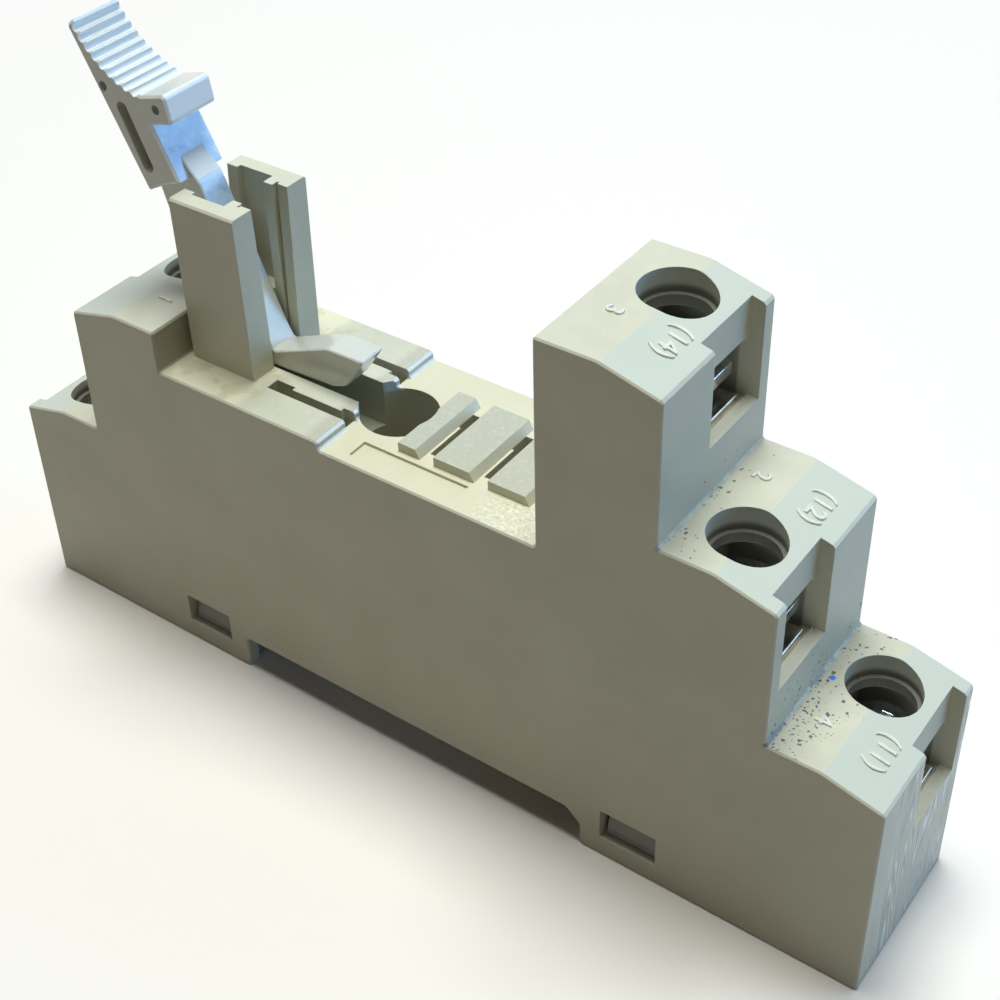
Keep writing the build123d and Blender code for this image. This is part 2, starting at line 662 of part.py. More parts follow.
def lever_arm():
    across, down = PIVOT_BOTTOM
    places = [ARM_RAMP, ARM_FRONT_TOP, ARM_FRONT_BOTTOM]
    places += [BEAK_ROOT, BEAK_CREST, BEAK_TIP, BEAK_NOSE, BEAK_HEEL, BEAK_UNDER]
    places += [(across, -down), (-across, -down), ARM_BACK_ROOT]
    places += [HEEL_BOTTOM, HEEL_TOP, HEEL_NECK, ARM_BACK_LOW, ARM_BACK_TOP]
    face = side_face([from_pivot(place) for place in places], ARM_CORNER)
    shape = side_prism(face, ARM_WIDTH) + cross_pin(PIVOT_X, PIVOT_Z, around(0, ARM_WIDTH / 2), PIVOT_EYE)
    return chamfer(edges_at_sides(shape, ARM_WIDTH / 2), ARM_EDGE)


def release_lever():
    shape = lever_head() + lever_arm()
    shape += cross_pin(PIVOT_X, PIVOT_Z, around(0, PIVOT_REACH), PIVOT_RADIUS)
    (x1, z1), (x2, z2) = [from_pivot(place) for place in SIDE_SLOT]
    slot = SlotCenterToCenter(math.dist((x1, z1), (x2, z2)), SIDE_SLOT_WIDTH)
    turn = math.degrees(math.atan2(z2 - z1, x2 - x1))
    slot = Pos((x1 + x2) / 2, (z1 + z2) / 2) * Rot(0, 0, turn) * slot
    shape -= side_prism(slot, LEVER_WIDTH + OVERCUT)
    for place in SIDE_HOLES:
        x, z = from_pivot(place)
        shape -= cross_pin(x, z, around(0, LEVER_WIDTH), SIDE_HOLE_RADIUS)
    return shape


# Metalwork of one terminal

def bus_route(name, side, tier):
    z_top = strip_middle(tier)
    x_edge = strip_edge(side, tier)
    coil_end = WELL_X - TUBE_RADIUS - COIL_STRIP_GAP
    if name == "11":
        end = CONTACT_X["11"] - CLIP_HALF
        dip_start, dip_end = BUS_DIP
        return [
            (x_edge, z_top), (HALL_RIGHT - dip_start, z_top),
            (HALL_RIGHT - dip_end, bus_level(name)), (end, bus_level(name)),
        ]
    if name == "a2":
        return [(x_edge, z_top), (coil_end, z_top)]
    end = coil_end if name == "a1" else CONTACT_X[name] - CLIP_HALF
    x_leg = leg_x(side, tier)
    return [(x_edge, z_top), (x_leg, z_top), (x_leg, bus_level(name)), (end, bus_level(name))]


def terminal_strip(name, side, tier, lane):
    y_middle = lane * LANE
    shape = side_prism(ribbon(bus_route(name, side, tier), STRIP_THICKNESS), STRIP_WIDTH, y_middle)
    x = screw_x(side, tier)
    top = strip_top(tier)
    low = top - STRIP_THICKNESS - STRIP_COLLAR
    shape += upright(x, y_middle, (low, strip_middle(tier)), STRIP_COLLAR_RADIUS)
    return shape - upright(x, y_middle, (low - OVERCUT, top + OVERCUT), SCREW_RADIUS + THREAD_CLEARANCE)


def contact_clip(name, lane):
    level = strip_middle(LOWEST_TIER) if name == "a2" else bus_level(name)
    low = level + STRIP_THICKNESS / 2 + CLIP_THICKNESS / 2
    coil = name in ("a1", "a2")
    top = (COIL_POCKET_TOP if coil else CONTACT_POCKET_TOP) - CLIP_TOP_GAP
    leaf = [(CLIP_HALF, top), (CLIP_PINCH, top - CLIP_MOUTH), (CLIP_HALF, top - CLIP_NECK), (CLIP_HALF, low)]
    outline = [(-x, z) for x, z in leaf] + leaf[::-1]
    profile = ribbon(outline, CLIP_THICKNESS)
    if coil:
        plane = Plane(origin=(COIL_X, lane * COIL_Y, 0), x_dir=(0, 1, 0), z_dir=(1, 0, 0))
    else:
        plane = Plane(origin=(CONTACT_X[name], 0, 0), x_dir=(1, 0, 0), z_dir=(0, -1, 0))
    return extrude(plane * profile, CLIP_WIDTH / 2, both=True)


def clamp_plate(side, tier, lane):
    x = screw_x(side, tier)
    y = lane * LANE
    low = clamp_bottom(tier)
    shape = block(around(x, CLAMP_HALF), around(y, CLAMP_HALF), (low, low + CLAMP_THICKNESS))
    shape = chamfer(shape.edges().filter_by(Axis.Z), CLAMP_CORNER)
    for groove_x in around(x, CLAMP_GROOVE_X):
        shape -= Pos(groove_x, y, low) * Rot(0, 45, 0) * Box(CLAMP_GROOVE, 2 * CLAMP_HALF, CLAMP_GROOVE)
    hole_z = (low - OVERCUT, low + CLAMP_THICKNESS + OVERCUT)
    return shape - upright(x, y, hole_z, SCREW_RADIUS + CLEARANCE)


def terminal_screw(side, tier, lane):
    x = screw_x(side, tier)
    y = lane * LANE
    seat = clamp_bottom(tier) + CLAMP_THICKNESS
    top = seat + HEAD_HEIGHT
    shape = upright(x, y, (seat, top), HEAD_RADIUS)
    slot_y = around(y, HEAD_SLOT / 2)
    cross_z = (top - HEAD_CROSS_DEPTH, top + OVERCUT)
    shape -= block(around(x, HEAD_RADIUS + OVERCUT), slot_y, (top - HEAD_SLOT_DEPTH, top + OVERCUT))
    shape -= block(around(x, HEAD_SLOT / 2), around(y, HEAD_CROSS_REACH), cross_z)
    shape -= block(around(x, HEAD_CROSS_REACH), slot_y, cross_z)
    return shape + upright(x, y, (strip_top(tier) - SCREW_REACH + CLAMP_LIFT, seat), SCREW_RADIUS)


def build():
    nodes = {
        "housing": housing(),
        "base_cover": base_cover(),
        "rail_latch": rail_latch(),
        "latch_spring": latch_spring(),
        "release_lever": release_lever(),
    }
    for name, side, tier, lane in TERMINALS:
        nodes["terminal_strip_" + name] = terminal_strip(name, side, tier, lane)
        nodes["contact_clip_" + name] = contact_clip(name, lane)
        nodes["clamp_plate_" + name] = clamp_plate(side, tier, lane)
        nodes["terminal_screw_" + name] = terminal_screw(side, tier, lane)
    return nodes


if __name__ == "__main__":
    os.makedirs("parts", exist_ok=True)
    for node, solid in build().items():
        export_step(solid, "parts/" + node + ".step")
        print(node, len(solid.solids()), round(solid.volume, 1))
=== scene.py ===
# Relay socket: the finish of each piece, the raised terminal numbers, the studio and the camera.
# Metres, in the socket's own frame: X along it, Y across it, Z up from the rail.

import math

import bmesh
import bpy
from mathutils import Matrix, Vector


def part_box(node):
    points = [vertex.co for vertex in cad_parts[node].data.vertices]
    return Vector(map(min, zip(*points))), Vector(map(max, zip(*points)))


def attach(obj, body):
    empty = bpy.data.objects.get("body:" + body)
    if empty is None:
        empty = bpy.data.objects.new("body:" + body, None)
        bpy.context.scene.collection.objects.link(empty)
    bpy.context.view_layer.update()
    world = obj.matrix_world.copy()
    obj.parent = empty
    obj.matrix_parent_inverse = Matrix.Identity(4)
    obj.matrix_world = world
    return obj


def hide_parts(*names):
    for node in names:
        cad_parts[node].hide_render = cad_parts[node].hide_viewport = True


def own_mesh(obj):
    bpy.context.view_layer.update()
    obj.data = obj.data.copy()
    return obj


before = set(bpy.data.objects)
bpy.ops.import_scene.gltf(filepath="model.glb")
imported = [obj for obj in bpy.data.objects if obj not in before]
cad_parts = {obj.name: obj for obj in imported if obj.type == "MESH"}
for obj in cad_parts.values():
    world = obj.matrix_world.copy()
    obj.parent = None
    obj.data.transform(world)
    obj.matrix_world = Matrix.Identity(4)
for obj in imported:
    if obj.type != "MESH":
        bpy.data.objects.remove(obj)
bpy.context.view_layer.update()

MM = 0.001
TERMINALS = ("14", "12", "11", "a1", "a2")
TOWER_TOPS = {"14": 44.4, "12": 30.85, "11": 17.3, "a1": 30.85, "a2": 17.3}
END_SLOPE = 1.3 / 4.95
FLOOR_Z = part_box("housing")[0].z

# Camera: where it stood, the way it looked and its lens, in the photograph's frame of 1000 pixels
PHOTO_PIXELS = 1000.0
CAMERA_PLACE = (66.7 * MM, -83.3 * MM, 106.95 * MM)
CAMERA_AZIMUTH = 37.13
CAMERA_ELEVATION = 36.80
CAMERA_ROLL = -2.15
FOCAL_PIXELS = 1708.4
CENTRE_PIXEL = (479.5, 419.1)

# Raised numbers on the tower tops: words, X and Y of the middle, height, terminal, way they face
NUMBERS = (
    ("3", 16.6, -1.9, 1.35, "14", 1),
    ("(14)", 21.35, -2.2, 1.5, "14", 1),
    ("2", 25.85, 3.35, 1.35, "12", 1),
    ("(12)", 30.5, 3.1, 1.5, "12", 1),
    ("4", 35.25, -3.05, 1.35, "11", 1),
    ("(11)", 39.8, -2.95, 1.5, "11", 1),
    ("1", -26.0, -3.2, 1.35, "a1", -1),
    ("5", -35.2, 3.2, 1.35, "a2", -1),
)

# Relief of the numbers in millimetres: how far they swell out and stand up, and their rounded edge
NUMBER_SWELL = -0.03
NUMBER_RISE = 0.09
NUMBER_ROUND = 0.07
# Spacing of the characters, and a capital's share of the font's size
NUMBER_SPACING = 1.08
CAPITAL_SHARE = 0.73

# Crumbs at the feet of the two risers: X and Z of the foot, reach, crowding, strength of the blue line
TREAD_FEET = ((23.8, 30.85, 2.8, 0.34, 0.35), (33.0, 17.3, 4.8, 0.90, 0.8))
BLUE_CRUMB = (33.9, 1.05, 17.3)

# Faces that the tones keep to, in millimetres: from X, to X, from Z, to Z
DECK = (-23.4, -15.0, 26.7, 27.3)
DECK_LIP = (-15.0, -8.5, 26.7, 27.3)
SHELF = (-10.5, 13.8, 25.9, 26.6)
PADS = (-8.0, 13.8, 26.7, 27.3)
SEAT_WALL = (-23.6, -23.3, 26.9, 31.0)
# The same faces with their tone of painted light and shade, its strength, and whether only what faces
# up takes it
FACE_LIGHT_AND_SHADE = (
    (DECK, "#E3DCBC", 0.85, True),
    (DECK_LIP, "#C3C3AE", 0.60, True),
    (SHELF, "#DDD6B6", 0.80, True),
    (PADS, "#ABAB98", 0.60, True),
    (SEAT_WALL, "#8A8470", 0.80, False),
)
PATCHED_DECK = (-23.4, -12.0)
GRAINED_SHELF = (8.0, 13.8)
PAD_BEVEL_X = (-10.0, 13.8)
PAD_BEVEL_Z = (26.0, 27.3)
PAD_BEVEL_LEAN = (0.45, 0.85)
END_FACE = 42.2
LEVER_STEM = (33.5, 46.7)
LEVER_GRIP = 48.2
STEM_LEAN = 0.5
STEM_FRONT = -1.83
CHAMBER_ROOF = 1.4
CHAMBER_HALF = (3.1, 3.55, 5.2)

# Latch spring: its fixed end, length and wire, in millimetres
SPRING_FIXED_END = -33.0
SPRING_LENGTH = 8.0
SPRING_COIL_RADIUS = 0.85
SPRING_WIRE_RADIUS = 0.17
SPRING_AXIS_Z = -1.2
SPRING_TURNS = 4
STEPS_IN_A_TURN = 24

# Floor of the studio in metres: half its side, and where its paper starts and ends turning white
FLOOR_HALF = 3.0
PAPER_FADES = (0.09, 0.26)

# Settings that many nodes share
SMOOTH = {"interpolation_type": "SMOOTHSTEP"}
TIMES = {"operation": "MULTIPLY"}
LESS = {"operation": "SUBTRACT"}
APART = {"operation": "DISTANCE"}
COLOURS = {"data_type": "RGBA"}


# Colours and node trees

def linear(code):
    """A colour written as sRGB hex, as the linear values that a shader takes."""
    values = [int(code[start:start + 2], 16) / 255 for start in (1, 3, 5)]
    return [v / 12.92 if v <= 0.04045 else ((v + 0.055) / 1.055) ** 2.4 for v in values] + [1.0]


def per_mm(size):
    """The scale of a pattern whose features are that many millimetres across."""
    return 1 / (size * MM)


def add(tree, kind, inputs=None, output=0, **settings):
    """Adds a node with its settings, sets or links its inputs, and gives an output, or all for None."""
    new = tree.nodes.new("ShaderNode" + kind)
    for name, setting in settings.items():
        setattr(new, name, setting)
    for key, given in (inputs or {}).items():
        if isinstance(given, bpy.types.NodeSocket):
            tree.links.new(given, new.inputs[key])
        else:
            new.inputs[key].default_value = given
    return new.outputs if output is None or not new.outputs else new.outputs[output]


def new_material(name):
    """A material without nodes, its tree, and the place on the piece, which moves with the piece."""
    material = bpy.data.materials.new(name)
    material.use_nodes = True
    tree = material.node_tree
    tree.nodes.clear()
    return material, tree, add(tree, "TexCoord", output="Object")


def set_finish(names, material):
    for name in names:
        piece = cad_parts[name]
        for slot in piece.material_slots:
            slot.material = material


def stain(tree, colour, code, strength, *masks):
    """Lays a colour over the finish, as strongly as all its masks let it through together."""
    amount = strength
    for mask in masks:
        amount = add(tree, "Math", {0: amount, 1: mask}, **TIMES)
    return add(tree, "Mix", {0: amount, 6: colour, 7: linear(code)}, 2, **COLOURS)


def between(tree, number, low, high, soft, unit=MM):
    """1 where a number lies between two levels, which are in millimetres or the given unit, with a
    soft edge."""
    rise = {0: number, 1: (low - soft) * unit, 2: (low + soft) * unit}
    fall = {0: number, 1: (high + soft) * unit, 2: (high - soft) * unit}
    sides = [add(tree, "MapRange", side, **SMOOTH) for side in (rise, fall)]
    return add(tree, "Math", {0: sides[0], 1: sides[1]}, **TIMES)


def inside_box(tree, place, middle, half):
    """1 inside a box given by its middle and half sizes in millimetres, with a soft edge."""
    away = add(tree, "VectorMath", {0: place, 1: [m * MM for m in middle]}, **LESS)
    away = add(tree, "VectorMath", {0: away}, operation="ABSOLUTE")
    share = add(tree, "VectorMath", {0: away, 1: [h * MM for h in half]}, operation="DIVIDE")
    shares = add(tree, "SeparateXYZ", {0: share}, None)
    most = add(tree, "Math", {0: shares[0], 1: shares[1]}, operation="MAXIMUM")
    most = add(tree, "Math", {0: most, 1: shares[2]}, operation="MAXIMUM")
    return add(tree, "MapRange", {0: most, 1: 1.06, 2: 0.94}, **SMOOTH)


def facing(tree):
    """How much the flat surface faces ahead, aside and upward, from -1 to 1 each."""
    normal = add(tree, "NewGeometry", output="True Normal")
    return add(tree, "SeparateXYZ", {0: normal}, None)


def facing_up(tree):
    return add(tree, "MapRange", {0: facing(tree)["Z"], 1: 0.75, 2: 0.95}, **SMOOTH)


def near_edge(tree, rounded):
    """1 along edges and in corners, where the rounded surface turns away from the flat one."""
    normal = add(tree, "NewGeometry", output="True Normal")
    same = add(tree, "VectorMath", {0: rounded, 1: normal}, "Value", operation="DOT_PRODUCT")
    return add(tree, "MapRange", {0: same, 1: 0.995, 2: 0.86}, **SMOOTH)


# Plastics

def moulded_plastic(name, tones, roughness=0.45, grain_depth=0.006, edge_mm=0.07, marks=None,
                    gloss=0.0):
    """Glass filled plastic from a spark eroded mould: matt, faintly grained, with slow flow tones in
    the skin, and paler along its edges, as in the photograph: a painted highlight, with some rubbing.
    Tones: even, duller, brighter and edge highlight.
    The grain is 0.18 mm, coarser than real, so that it shows."""
    even, duller, brighter, edge = tones
    material, tree, place = new_material(name)
    flow = add(tree, "TexNoise", {"Vector": place, "Scale": per_mm(9.0), "Detail": 3.0})
    grain = add(tree, "TexNoise", {"Vector": place, "Scale": per_mm(0.18)})
    dull = add(tree, "MapRange", {0: flow, 1: 0.52, 2: 0.36}, **SMOOTH)
    bright = add(tree, "MapRange", {0: flow, 1: 0.50, 2: 0.64}, **SMOOTH)
    raised = add(tree, "MapRange", {0: grain, 1: 0.35, 2: 0.65}, **SMOOTH)
    colour = stain(tree, linear(even), duller, 1.0, dull)
    colour = stain(tree, colour, brighter, 1.0, bright)
    colour = stain(tree, colour, duller, 0.3, raised)
    limits = {0: grain, 1: 0.3, 2: 0.7, 3: roughness * 0.90, 4: roughness * 1.15}
    rough = add(tree, "MapRange", limits, **SMOOTH)
    bump = {"Height": grain, "Strength": 0.4, "Distance": grain_depth * MM}
    if edge_mm:
        rounded = add(tree, "Bevel", {"Radius": edge_mm * MM}, samples=6)
        bump["Normal"] = rounded
        # Painted highlight along edges and corners, with some rubbing
        colour = stain(tree, colour, edge, 0.8, near_edge(tree, rounded))
    if marks:
        colour, rough = marks(tree, place, colour, rough)
    relief = add(tree, "Bump", bump)
    inputs = {"Base Color": colour, "Roughness": rough, "Normal": relief, "IOR": 1.52}
    inputs |= {"Coat Weight": gloss, "Coat Roughness": 0.14}
    add(tree, "OutputMaterial", {"Surface": add(tree, "BsdfPrincipled", inputs)})
    return material


def crumbs(tree, place, colour):
    """Dark and blue crumbs of dirt, thickest in the feet of the two risers between the towers."""
    flat = add(tree, "VectorMath", {0: place, 1: (1, 0, 1)}, **TIMES)
    y = add(tree, "SeparateXYZ", {0: place}, "Y")
    near_side = add(tree, "MapRange", {0: y, 1: 7.5 * MM, 2: -4.0 * MM, 3: 0.5, 4: 1.1}, **SMOOTH)
    patchy = add(tree, "TexNoise", {"Vector": place, "Scale": per_mm(0.9), "Detail": 3.0})
    patchy = add(tree, "MapRange", {0: patchy, 1: 0.40, 2: 0.58}, **SMOOTH)
    crowd = 0.0
    for x, z, reach, share, blue_line in TREAD_FEET:
        away = add(tree, "VectorMath", {0: flat, 1: (x * MM, 0, z * MM)}, "Value", **APART)
        near = add(tree, "MapRange", {0: away, 1: reach * MM, 2: 0.1 * MM, 4: share}, **SMOOTH)
        crowd = add(tree, "Math", {0: crowd, 1: near}, operation="MAXIMUM")
        line = add(tree, "MapRange", {0: away, 1: 0.30 * MM, 2: 0.08 * MM}, **SMOOTH)
        colour = stain(tree, colour, "#3E4A5E", blue_line, line, patchy, near_side)
    clumps = add(tree, "TexNoise", {"Vector": place, "Scale": per_mm(2.0)})
    clumps = add(tree, "MapRange", {0: clumps, 1: 0.36, 2: 0.60, 3: 0.25, 4: 1.0}, **SMOOTH)
    aside = add(tree, "Math", {0: facing(tree)["Y"]}, operation="ABSOLUTE")
    not_aside = add(tree, "MapRange", {0: aside, 1: 0.5, 2: 0.2}, **SMOOTH)
    lying = add(tree, "MapRange", {0: facing_up(tree), 3: 0.4, 4: 1.0})
    for mask in (clumps, not_aside, near_side, lying):
        crowd = add(tree, "Math", {0: crowd, 1: mask}, **TIMES)
    drift = add(tree, "TexNoise", {"Vector": place, "Scale": per_mm(0.25), "Detail": 1.0}, "Color")
    shift = add(tree, "VectorMath", {0: drift, 1: (0.5, 0.5, 0.5)}, **LESS)
    shift = add(tree, "VectorMath", {0: shift, "Scale": 0.35 * MM}, operation="SCALE")
    ragged = add(tree, "VectorMath", {0: place, 1: shift}, operation="ADD")
    for size, spread in ((0.80, 0.24), (0.48, 0.30), (0.30, 0.36)):
        cells = add(tree, "TexVoronoi", {"Vector": ragged, "Scale": per_mm(size)}, None)
        chance = add(tree, "SeparateColor", {0: cells["Color"]}, None)
        there = add(tree, "Math", {0: chance[0], 1: crowd}, operation="LESS_THAN")
        reach = add(tree, "MapRange", {0: chance[1], 3: 0.10, 4: spread})
        inside = add(tree, "Math", {0: cells["Distance"], 1: reach}, operation="LESS_THAN")
        blue = add(tree, "Math", {0: chance[2], 1: 0.80}, operation="GREATER_THAN")
        colour = stain(tree, colour, "#3C3D3C", 0.85, there, inside)
        colour = stain(tree, colour, "#45669C", 0.9, there, inside, blue)
    away = add(tree, "VectorMath", {0: ragged, 1: [n * MM for n in BLUE_CRUMB]}, "Value", **APART)
    crumb = add(tree, "MapRange", {0: away, 1: 0.28 * MM, 2: 0.22 * MM}, **SMOOTH)
    return stain(tree, colour, "#3B86E0", 1.0, crumb)


def housing_marks(tree, place, colour, rough):
    """The photograph's light and shade on the housing, as tones of its skin: cream tops, cool slopes,
    the deck and its pads, and the dark deep in the wells and wire chambers. Then its marks: grain on
    the shelf, patches on the deck, crumbs by the risers and a scuffed end."""
    x, y, z = add(tree, "SeparateXYZ", {0: place}, None)
    up = facing_up(tree)
    # Painted light on the tops: cream in clouds where flat, cool where they slope
    cloud = add(tree, "TexNoise", {"Vector": place, "Scale": per_mm(1.6), "Detail": 4.0})
    cloud = add(tree, "MapRange", {0: cloud, 1: 0.42, 2: 0.66, 3: 0.5, 4: 1.0}, **SMOOTH)
    level = add(tree, "MapRange", {0: facing(tree)["Z"], 1: 0.975, 2: 0.99}, **SMOOTH)
    fall = add(tree, "Math", {0: up, 1: level}, **LESS)
    colour = stain(tree, colour, "#DED7BC", 0.42, level, cloud)
    colour = stain(tree, colour, "#C8D1C6", 0.60, fall)

    # Painted light and shade on the deck, its lip, the shelf, the pads and the seat wall
    for (left, right, bottom, top), code, strength, only_up in FACE_LIGHT_AND_SHADE:
        along = between(tree, x, left, right, min(0.6, (right - left) / 4))
        at_height = between(tree, z, bottom, top, 0.1)
        colour = stain(tree, colour, code, strength, along, at_height, up if only_up else 1.0)
    patchy = add(tree, "TexNoise", {"Vector": place, "Scale": per_mm(3.0), "Detail": 3.0})
    patchy = add(tree, "MapRange", {0: patchy, 1: 0.48, 2: 0.56}, **SMOOTH)
    left_deck = between(tree, x, *PATCHED_DECK, 2.0)
    on_deck = between(tree, z, *DECK[2:], 0.1)
    colour = stain(tree, colour, "#B9AE8B", 0.4, patchy, left_deck, on_deck, up)
    # Painted highlight: pale blue on the pads' bevels that lean towards the side window
    pad_bevel_highlight = between(tree, facing(tree)["X"], *PAD_BEVEL_LEAN, 0.02, 1)
    pad_x = between(tree, x, *PAD_BEVEL_X, 0.1)
    pad_z = between(tree, z, *PAD_BEVEL_Z, 0.1)
    colour = stain(tree, colour, "#DCEBF8", 0.85, pad_bevel_highlight, pad_x, pad_z)
    near_side = add(tree, "MapRange", {0: y, 1: -3.2 * MM, 2: -4.4 * MM}, **SMOOTH)
    shelf = add(tree, "Math", {0: near_side, 1: between(tree, x, *GRAINED_SHELF, 1.5)}, **TIMES)
    shelf = add(tree, "Math", {0: shelf, 1: between(tree, z, *SHELF[2:], 0.1)}, **TIMES)
    fine = {"Vector": place, "Scale": per_mm(0.34), "Detail": 3.0, "Roughness": 0.7}
    sparkle = add(tree, "TexNoise", fine)
    bright = add(tree, "MapRange", {0: sparkle, 1: 0.50, 2: 0.66}, **SMOOTH)
    dark = add(tree, "MapRange", {0: sparkle, 1: 0.44, 2: 0.34}, **SMOOTH)
    colour = stain(tree, colour, "#F4F2E2", 0.9, up, shelf, bright)
    colour = stain(tree, colour, "#DADBCD", 0.3, up, pad_x, between(tree, z, *PADS[2:], 0.1), bright)
    colour = stain(tree, colour, "#A9A388", 0.6, up, shelf, dark)

    # Painted shade: dark inside the wire chambers and deep in the wells
    for name in TERMINALS:
        low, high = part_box("terminal_screw_" + name)
        middle_z = TOWER_TOPS[name] - CHAMBER_ROOF - CHAMBER_HALF[2]
        middle = ((low.x + high.x) / 2 / MM, (low.y + high.y) / 2 / MM, middle_z)
        colour = stain(tree, colour, "#47453A", 0.8, inside_box(tree, place, middle, CHAMBER_HALF))

    end = add(tree, "MapRange", {0: x, 1: (END_FACE - 0.4) * MM, 2: (END_FACE - 0.1) * MM}, **SMOOTH)
    outward = add(tree, "MapRange", {0: facing(tree)["X"], 1: 0.9, 2: 0.97}, **SMOOTH)
    end = add(tree, "Math", {0: end, 1: outward}, **TIMES)
    patch = add(tree, "TexNoise", {"Vector": place, "Scale": per_mm(4.0)})
    patch = add(tree, "MapRange", {0: patch, 1: 0.34, 2: 0.50}, **SMOOTH)
    away = add(tree, "MapRange", {0: y, 1: -6.8 * MM, 2: -4.6 * MM}, **SMOOTH)
    drawn = add(tree, "Mapping", {"Vector": place, "Scale": (1.0, 1.5, 0.16)})
    swirl = add(tree, "TexNoise", {"Vector": drawn, "Scale": per_mm(3.6), "Detail": 1.0})
    folds = add(tree, "Math", {0: add(tree, "Math", {0: swirl, 1: 110.0}, **TIMES)}, operation="SINE")
    bright = add(tree, "MapRange", {0: folds, 1: 0.35, 2: 0.98}, **SMOOTH)
    dark = add(tree, "MapRange", {0: folds, 1: -0.35, 2: -0.98}, **SMOOTH)
    colour = stain(tree, colour, "#F2F3EE", 0.60, end, patch, away, bright)
    colour = stain(tree, colour, "#8E9490", 0.40, end, patch, away, dark)
    smeared = add(tree, "Math", {0: add(tree, "Math", {0: end, 1: away}, **TIMES), 1: bright}, **TIMES)
    rough = add(tree, "Mix", {0: smeared, 2: rough, 3: 0.28})
    return crumbs(tree, place, colour), rough


def lever_marks(tree, place, colour, rough):
    """The photograph's light on the lever, as tones of its skin: a pale grip and a blue, clouded front
    of the stem. Then fine scratches on that front."""
    ahead = facing(tree)["X"]
    turned = add(tree, "MapRange", {0: ahead, 1: 0.10, 2: 0.30}, **SMOOTH)
    front = add(tree, "MapRange", {0: ahead, 1: 0.7, 2: 0.9}, **SMOOTH)
    spot = add(tree, "SeparateXYZ", {0: place}, None)
    x, z = spot["X"], spot["Z"]
    high = add(tree, "MapRange", {0: z, 1: 33 * MM, 2: 36 * MM}, **SMOOTH)
    reach = add(tree, "Math", {0: z, 1: STEM_LEAN, 2: x}, operation="MULTIPLY_ADD")
    depths = (STEM_FRONT - 1.5) * MM, (STEM_FRONT - 1.0) * MM
    skin = add(tree, "MapRange", {0: reach, 1: depths[0], 2: depths[1]}, **SMOOTH)
    front = add(tree, "Math", {0: front, 1: skin}, **TIMES)
    grip = add(tree, "Math", {0: z, 1: LEVER_GRIP * MM}, operation="GREATER_THAN")
    skin = add(tree, "Math", {0: skin, 1: grip}, operation="MAXIMUM")
    stem = between(tree, z, *LEVER_STEM, 0.5)
    # Painted highlight on the grip and painted reflection of blue light on the stem's front, clouded
    # pale and dull
    colour = stain(tree, colour, "#EBF2F3", 0.90, turned, high, skin)
    colour = stain(tree, colour, "#A9CDF0", 0.80, front, stem)
    cloudy = {"Vector": place, "Scale": per_mm(1.1), "Detail": 4.0, "Roughness": 0.6}
    cloud = add(tree, "TexNoise", cloudy)
    pale = add(tree, "MapRange", {0: cloud, 1: 0.50, 2: 0.66}, **SMOOTH)
    colour = stain(tree, colour, "#E3EEF4", 0.55, front, high, pale)
    dull = add(tree, "MapRange", {0: cloud, 1: 0.46, 2: 0.34}, **SMOOTH)
    colour = stain(tree, colour, "#8FB0D2", 0.45, front, stem, dull)
    for size, stretch in ((0.9, (0.8, 1.0, 0.35)), (0.7, (0.8, 0.4, 0.9))):
        drawn = add(tree, "Mapping", {"Vector": place, "Scale": stretch})
        lines = add(tree, "TexNoise", {"Vector": drawn, "Scale": per_mm(size)})
        off = add(tree, "Math", {0: lines, 1: 0.5}, **LESS)
        off = add(tree, "Math", {0: off}, operation="ABSOLUTE")
        line = add(tree, "MapRange", {0: off, 1: 0.010, 2: 0.002}, **SMOOTH)
        colour = stain(tree, colour, "#5C7EA6", 0.55, front, stem, line, dull)
    return colour, rough


# Metals

def plated_metal(name, code, tarnish, roughness):
    """Plated strip and wire: bright, with fine rolling marks and rounded edges that catch the light.
    The marks are 0.2 mm apart, coarser than real, so that they show."""
    material, tree, place = new_material(name)
    drawn = add(tree, "Mapping", {"Vector": place, "Scale": (1.0, 5.0, 1.0)})
    marks = add(tree, "TexNoise", {"Vector": drawn, "Scale": per_mm(0.2)})
    patches = add(tree, "TexNoise", {"Vector": place, "Scale": per_mm(1.3), "Detail": 3.0})
    patches = add(tree, "MapRange", {0: patches, 1: 0.45, 2: 0.72}, **SMOOTH)
    limits = {0: marks, 1: 0.3, 2: 0.7, 3: roughness * 0.8, 4: roughness * 1.25}
    rounded = add(tree, "Bevel", {"Radius": 0.12 * MM}, samples=6)
    relief = {"Height": marks, "Strength": 0.15, "Distance": 0.001 * MM, "Normal": rounded}
    inputs = {
        "Base Color": stain(tree, linear(code), tarnish, 1.0, patches),
        "Metallic": 1.0,
        "Roughness": add(tree, "MapRange", limits, **SMOOTH),
        "Normal": add(tree, "Bump", relief),
    }
    add(tree, "OutputMaterial", {"Surface": add(tree, "BsdfPrincipled", inputs)})
    return material


def terminal_nodes(kind):
    return [kind + "_" + name for name in TERMINALS]


